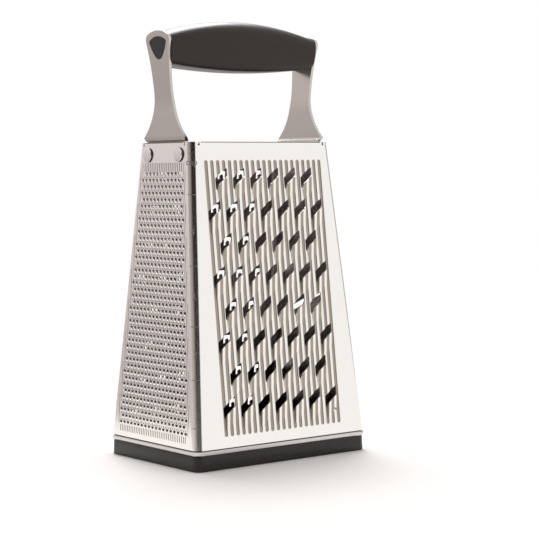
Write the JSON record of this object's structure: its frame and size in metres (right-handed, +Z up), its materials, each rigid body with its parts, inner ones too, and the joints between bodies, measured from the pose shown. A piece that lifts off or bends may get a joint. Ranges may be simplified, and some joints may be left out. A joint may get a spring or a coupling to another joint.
{
  "type": "box grater",
  "caption": "Four-sided steel box grater, tapering upward, with a strap handle across its open top and a pull-off base tray",
  "frame": {"origin": "centre of the resting plane under the base tray's feet", "axes": "+Z up from the tray to the handle, -Y towards the wide coarse face, -X towards the narrow fine face"},
  "size_m": [0.119, 0.0876, 0.2435],
  "materials": {
    "wall_steel": "fine satin",
    "arm_steel": "satin",
    "rivet_steel": "polished",
    "band_steel": "polished",
    "tray_plastic": "fine grained",
    "foot_rubber": "matte",
    "core_plastic": "smooth",
    "grip_rubber": "soft, satin"
  },
  "bodies": {
    "base": {"base_tray": "tray_plastic", "tray_feet": "foot_rubber"},
    "grater": {"front_coarse_panel": "wall_steel", "back_extra_coarse_panel": "wall_steel", "left_fine_panel": "wall_steel", "right_slicer_panel": "wall_steel", "left_arm_rivets": "rivet_steel", "right_arm_rivets": "rivet_steel", "rim_band": "band_steel", "right_handle_arm": "arm_steel", "left_handle_arm": "arm_steel", "grip_core": "core_plastic", "soft_grip": "grip_rubber"}
  },
  "joints": [
    {"name": "lift_off", "type": "slide", "parent": "base", "child": "grater", "axis": [0, 0, 1], "range_m": [0, 0.045]}
  ]
}
